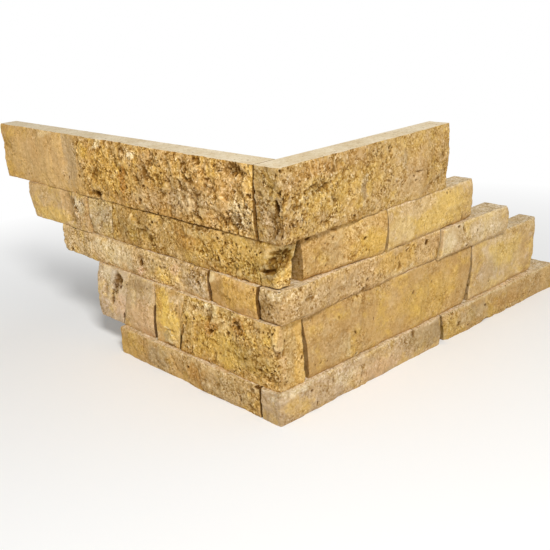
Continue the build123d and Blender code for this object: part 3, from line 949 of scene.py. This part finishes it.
def skin_faces(skin):
    """Faces of the closed strip: the net, then the top, the underside and the back."""
    columns, rows = skin.along.shape
    index = np.arange(columns * rows).reshape(columns, rows)
    net = np.stack([index[:-1, :-1], index[1:, :-1], index[1:, 1:], index[:-1, 1:]], axis=-1).reshape(-1, 4)
    back = np.stack([index[-1, :-1], index[0, :-1], index[0, 1:], index[-1, 1:]], axis=-1)
    top = index[:, -1]
    under = index[::-1, 0]
    if not skin.outline.right:
        net = net[:, ::-1]
        back = back[:, ::-1]
        top = top[::-1]
        under = under[::-1]
    return net, back, top, under


def make_strip(name, look, seed):
    """One stone strip as a closed mesh that replaces its CAD node."""
    outline = Outline(name, look)
    skin = Skin(outline)
    relief, end_relief, values = carve(skin, seed)
    points = place(skin, relief, end_relief)
    net, back, top, under = skin_faces(skin)
    faces = net.tolist() + back.tolist() + [top.tolist(), under.tolist()]
    mesh = bpy.data.meshes.new(name)
    mesh.from_pydata(points.reshape(-1, 3), [], faces)
    smooth = np.arange(len(faces)) < len(net)
    mesh.polygons.foreach_set("use_smooth", smooth)
    material_index = np.where(smooth, 0, 1)
    material_index[-2] = 2
    mesh.polygons.foreach_set("material_index", material_index.astype(np.int32))
    values.update(tint_amounts(skin, seed))
    for label, grid in values.items():
        layer = mesh.attributes.new(label, "FLOAT", "POINT")
        layer.data.foreach_set("value", np.ascontiguousarray(grid, dtype=np.float32).ravel())
    mesh.update()
    piece = bpy.data.objects.new(name + "_stone", mesh)
    bpy.context.scene.collection.objects.link(piece)
    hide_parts(name)
    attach(piece, "root")
    return piece


def colour(red, green, blue):
    """A display colour from 0 to 255 as the linear colour that shaders take."""
    linear = []
    for value in (red, green, blue):
        value = value / 255
        linear.append(value / 12.92 if value <= 0.04045 else ((value + 0.055) / 1.055) ** 2.4)
    return (*linear, 1.0)


STONE_COLOURS = {
    "golden": (colour(203, 163, 98), colour(190, 146, 84)),
    "tan": (colour(206, 164, 104), colour(194, 152, 96)),
    "beige": (colour(206, 171, 118), colour(196, 158, 106)),
    "grey": (colour(198, 166, 122), colour(186, 154, 114)),
}
TINT_COLOURS = {
    "gold": colour(218, 174, 84),
    "ochre": colour(190, 134, 62),
    "beige": colour(212, 176, 126),
    "pale": colour(236, 211, 164),
    "grey": colour(188, 162, 126),
    "brown": colour(124, 86, 36),
    "moss": colour(148, 118, 54),
    "rose": colour(216, 172, 128),
}
PIT_AND_SHADE_COLOUR = colour(78, 44, 5)
WHITE = (1, 1, 1, 1)
CLEFT_SHADE_COLOUR = colour(112, 74, 24)
# Sizes of the grains in the materials, and the range of their random values that is used
COARSE_GRAIN = 2.1
FINE_GRAIN = 0.95
SPECK = 1.2
GRAIN_RANGE = (0.15, 0.85)
# Light and dark colour, strength of the blotches, and strength of the grit
SAWN_KINDS = {
    "top": (colour(242, 226, 194), colour(228, 208, 170), 0.25, 0.35),
    "ledge": (colour(224, 202, 164), colour(210, 186, 146), 0.6, 1.0),
    "back": (colour(224, 202, 164), colour(208, 184, 144), 0.5, 0.35),
}


class Shader:
    """Short calls for building a node tree."""

    def __init__(self, owner):
        owner.use_nodes = True
        self.owner = owner
        self.tree = owner.node_tree
        self.surface = self.tree.nodes.get("Principled BSDF")

    def node(self, kind, *values, **inputs):
        """A new node, its inputs fed in order or by name."""
        made = self.tree.nodes.new("ShaderNode" + kind)
        for socket, value in zip(made.inputs, values):
            self.feed(socket, value)
        for key, value in inputs.items():
            self.feed(made.inputs[key.replace("_", " ")], value)
        return made

    def feed(self, socket, value):
        if isinstance(value, bpy.types.NodeSocket):
            self.tree.links.new(value, socket)
        else:
            socket.default_value = value

    def attribute(self, name):
        made = self.node("Attribute")
        made.attribute_name = name
        return made.outputs["Fac"]

    def noise(self, coordinates, size, detail=3.0, roughness=0.55):
        """Noise whose largest lumps are about this many millimetres."""
        scale = 1 / (size * MM)
        made = self.node("TexNoise", Vector=coordinates, Scale=scale, Detail=detail, Roughness=roughness)
        return made.outputs["Fac"]

    def cells(self, coordinates, size):
        """Grains about this many millimetres across, each with a random value."""
        return self.node("TexVoronoi", Vector=coordinates, Scale=1 / (size * MM)).outputs["Color"]

    def remap(self, value, low, high, start=0.0, end=1.0):
        made = self.node("MapRange", Value=value, From_Min=low, From_Max=high, To_Min=start, To_Max=end)
        return made.outputs["Result"]

    def math(self, operation, a, b):
        made = self.node("Math", a, b)
        made.operation = operation
        return made.outputs[0]

    def mix(self, factor, a, b, blend="MIX"):
        made = self.node("Mix", Factor=factor)
        made.data_type = "RGBA"
        made.blend_type = blend
        self.feed(made.inputs[6], a)
        self.feed(made.inputs[7], b)
        return made.outputs[2]

    def deepen(self, shade, factor):
        """Lightens towards cream where the factor is above 1, and darkens towards brown below it."""
        made = self.node("CombineColor")
        for channel, power in (("Red", 0.75), ("Green", 1.0), ("Blue", 1.65)):
            self.feed(made.inputs[channel], self.math("POWER", factor, power))
        return self.mix(1.0, shade, made.outputs[0], "MULTIPLY")

    def grit(self, ground, where, strength, coarse, fine, specks, more=0.0):
        """Coarse and fine grains that swing the tone between two shares, and dark specks."""
        swing = self.math("ADD", self.remap(self.cells(where, COARSE_GRAIN), *GRAIN_RANGE, *coarse),
                          self.remap(self.cells(where, FINE_GRAIN), *GRAIN_RANGE, *fine))
        swing = self.math("MULTIPLY", self.math("ADD", swing, more), strength)
        ground = self.deepen(ground, self.math("ADD", swing, 1))
        dark = self.remap(self.cells(where, SPECK), 0.25, 0.14, 0, specks)
        return self.mix(self.math("MULTIPLY", dark, strength), ground, TINT_COLOURS["brown"])

    def bump(self, height, depth, strength):
        """Bump whose full height is this many millimetres."""
        made = self.node("Bump", Height=height, Strength=strength, Distance=depth * MM)
        self.feed(self.surface.inputs["Normal"], made.outputs["Normal"])

    def place(self, seed, lean, stretch):
        """Object coordinates moved apart for each strip, and stretched along the lean of its bedding."""
        where = self.node("TexCoord").outputs["Object"]
        apart = (seed * 0.37, seed * 0.53, seed * 0.29)
        turn = (math.radians(lean), math.radians(-lean), 0)
        scale = (1, 1, 1 / stretch)
        made = self.node("Mapping", Vector=where, Location=apart, Rotation=turn, Scale=scale)
        return made.outputs["Vector"]

    def finish(self, ground, roughness, specular):
        """Base colour, roughness and strength of the gloss."""
        self.feed(self.surface.inputs["Base Color"], ground)
        self.feed(self.surface.inputs["Roughness"], roughness)
        self.surface.inputs["Specular IOR Level"].default_value = specular


def split_material(name, look, seed):
    """Split travertine: mottled ground, tints, pale crumbs and fine grain; dark pits, partly painted shade;
    painted shade in the joints, clefts, creases and hollows, and painted highlight on the grain tops and
    ridges.
    """
    s = Shader(bpy.data.materials.new(name + "_split"))
    where = s.place(seed, look.lean, look.stretch)
    even = s.place(seed + 40, 0, 1)
    light, dark = STONE_COLOURS[look.base]
    strong = s.remap(s.attribute("rough"), 0, 1, 0.25, 1)
    ground = s.mix(s.remap(s.noise(even, 40, 9, 0.6), 0.40, 0.60), light, dark)
    ground = s.mix(s.remap(s.noise(even, 16, 9, 0.65), 0.50, 0.62, 0, 0.6), ground, TINT_COLOURS["gold"])
    ground = s.mix(s.remap(s.noise(even, 11, 8, 0.65), 0.51, 0.64, 0, 0.6), ground, TINT_COLOURS["beige"])
    for kind, tint in TINT_COLOURS.items():
        ground = s.mix(s.attribute(kind), ground, tint)
    stain = s.remap(s.noise(where, 6.5, 8, 0.75), 0.54, 0.70, 0, 0.5)
    ground = s.mix(s.math("MULTIPLY", stain, strong), ground, TINT_COLOURS["brown"])
    crumbs = s.remap(s.noise(even, 2.4, 5, 0.7), 0.53, 0.66, 0, 0.5)
    ground = s.mix(s.math("MULTIPLY", crumbs, strong), ground, TINT_COLOURS["pale"])
    ground = s.deepen(ground, s.remap(s.noise(even, 4, 6, 0.75), 0.32, 0.68, 0.88, 1.12))
    gritty = s.math("MULTIPLY", strong, s.remap(s.noise(even, 7, 4, 0.6), 0.36, 0.62, 0.35, 1.25))
    # The grain heights darken the creases towards brown and lighten the grain tops towards cream: painted
    # shade and painted highlight.
    grain = s.remap(s.attribute("grain"), 0.1, 0.9, -0.36, 0.18)
    ground = s.grit(ground, even, gritty, (-0.10, 0.10), (-0.62, 0.36), 0.8, grain)
    # Brown where the face lies below its local mean and pale where it stands above it: painted shade in the
    # hollows and painted highlight on the ridges.
    rise = s.attribute("rise")
    ground = s.mix(s.remap(rise, 0.42, 0.05, 0, 0.55), ground, TINT_COLOURS["brown"])
    ground = s.mix(s.remap(rise, 0.60, 0.95, 0, 0.22), ground, TINT_COLOURS["pale"])
    # Painted shade in the crumbled patches, darker where they are deeper.
    ground = s.mix(s.remap(s.attribute("cleft"), 0.1, 0.8, 0, 0.68), ground, CLEFT_SHADE_COLOUR)
    # Dark brown in the pits, deeper is darker, partly their own fill and partly painted shade; the same
    # colour is painted shade in the joints, the broken corner and the groove.
    ground = s.mix(s.remap(s.attribute("pit"), 0.1, 0.9, 0, 0.85), ground, PIT_AND_SHADE_COLOUR)
    ground = s.mix(1.0, ground, (*look.tone, 1), "MULTIPLY")
    s.finish(ground, s.remap(s.noise(where, 5, 2), 0.3, 0.7, 0.78, 0.95), 0.08)
    s.bump(s.noise(even, 0.8, 3, 0.7), 0.5, 0.9)
    return s.owner


def sawn_material(name, look, seed, kind):
    """Sawn travertine: flat, with soft bands and pores, palest on the top and grittiest on the ledges."""
    s = Shader(bpy.data.materials.new(name))
    where = s.place(seed, 0, 1)
    light, dark, blotch, grit = SAWN_KINDS[kind]
    ground = s.mix(s.remap(s.noise(where, 26, 4), 0.38, 0.66), light, dark)
    blotches = s.remap(s.noise(where, 7, 6, 0.65), 0.48, 0.66, 0, blotch)
    ground = s.mix(blotches, ground, STONE_COLOURS[look.base][0])
    fine = s.remap(s.noise(where, 1.6, 3), 0.52, 0.68, 0, 0.5 * blotch)
    ground = s.mix(fine, ground, TINT_COLOURS["grey"])
    ground = s.grit(ground, where, grit, (-0.16, 0.14), (-0.3, 0.24), 0.6)
    pores = s.remap(s.noise(where, 3.2, 2), 0.66, 0.72, 0, 1)
    ground = s.mix(s.math("MULTIPLY", pores, 0.6), ground, TINT_COLOURS["brown"])
    s.finish(ground, s.remap(s.noise(where, 8, 2), 0.3, 0.7, 0.6, 0.8), 0.3)
    height = s.math("SUBTRACT", s.noise(where, 0.9, 3), s.math("MULTIPLY", pores, 2.0))
    s.bump(height, 0.15, 0.6)
    return s.owner


def make_floor():
    """Pale floor that keeps the object's shadow, and is plain white to the camera further off."""
    mesh = bpy.data.meshes.new("floor")
    corners = [(x * FLOOR_REACH, y * FLOOR_REACH, 0) for x, y in ((-1, -1), (1, -1), (1, 1), (-1, 1))]
    mesh.from_pydata(corners, [], [(0, 1, 2, 3)])
    floor = bpy.data.objects.new("floor", mesh)
    bpy.context.scene.collection.objects.link(floor)
    s = Shader(bpy.data.materials.new("floor"))
    s.finish((0.93, 0.93, 0.92, 1), 0.9, 0)
    distance = s.node("VectorMath", s.node("NewGeometry").outputs["Position"])
    distance.operation = "LENGTH"
    far = s.remap(distance.outputs["Value"], *FLOOR_FADE)
    share = s.math("MULTIPLY", far, s.node("LightPath").outputs["Is Camera Ray"])
    white = s.node("Emission", WHITE, 1)
    blend = s.node("MixShader", share, s.surface.outputs[0], white.outputs[0])
    s.feed(s.tree.nodes["Material Output"].inputs["Surface"], blend.outputs[0])
    mesh.materials.append(s.owner)


def add_lamp():
    """Soft square lamp high on the right of the corner."""
    data = bpy.data.lights.new("key", "AREA")
    data.size = LAMP_SIZE
    data.energy = LAMP_POWER
    lamp = bpy.data.objects.new("key", data)
    lamp.location = LAMP_PLACE
    lamp.rotation_euler = (Vector(LAMP_AIM) - Vector(LAMP_PLACE)).to_track_quat("-Z", "Y").to_euler()
    bpy.context.scene.collection.objects.link(lamp)


def add_sky():
    """An even pale world, white to the camera."""
    world = bpy.data.worlds.new("studio")
    bpy.context.scene.world = world
    s = Shader(world)
    soft = s.tree.nodes["Background"]
    s.feed(soft.inputs["Color"], WHITE)
    s.feed(soft.inputs["Strength"], SKY_STRENGTH)
    white = s.node("Background", WHITE, 1)
    seen = s.node("LightPath").outputs["Is Camera Ray"]
    blend = s.node("MixShader", seen, soft.outputs[0], white.outputs[0])
    s.feed(s.tree.nodes["World Output"].inputs["Surface"], blend.outputs[0])


def add_camera():
    """Camera at the photograph's viewing angle."""
    data = bpy.data.cameras.new("camera")
    data.lens = CAMERA_LENS
    data.clip_start = 0.01
    data.clip_end = 100
    camera = bpy.data.objects.new("camera", data)
    bpy.context.scene.collection.objects.link(camera)
    look = Vector(CAMERA_LOOK).normalized()
    level = look.cross(Vector((0, 0, 1))).normalized()
    rise = level.cross(look)
    right = math.cos(CAMERA_ROLL) * level + math.sin(CAMERA_ROLL) * rise
    up = right.cross(look)
    turn = Matrix((right, up, -look)).transposed().to_4x4()
    turn.translation = Vector(CAMERA_PLACE)
    camera.matrix_world = turn
    bpy.context.scene.camera = camera


def main():
    bpy.context.scene.view_settings.view_transform = "Standard"
    for number, (name, look) in enumerate(LOOKS.items()):
        seed = 1000 + 300 * number
        piece = make_strip(name, look, seed)
        upper_kind = "top" if name.startswith("top") else "ledge"
        for material in (
            split_material(name, look, number + 1),
            sawn_material(name + "_back", look, number + 1, "back"),
            sawn_material(name + "_upper", look, number + 1, upper_kind),
        ):
            piece.data.materials.append(material)
    make_floor()
    add_sky()
    add_lamp()
    add_camera()


main()
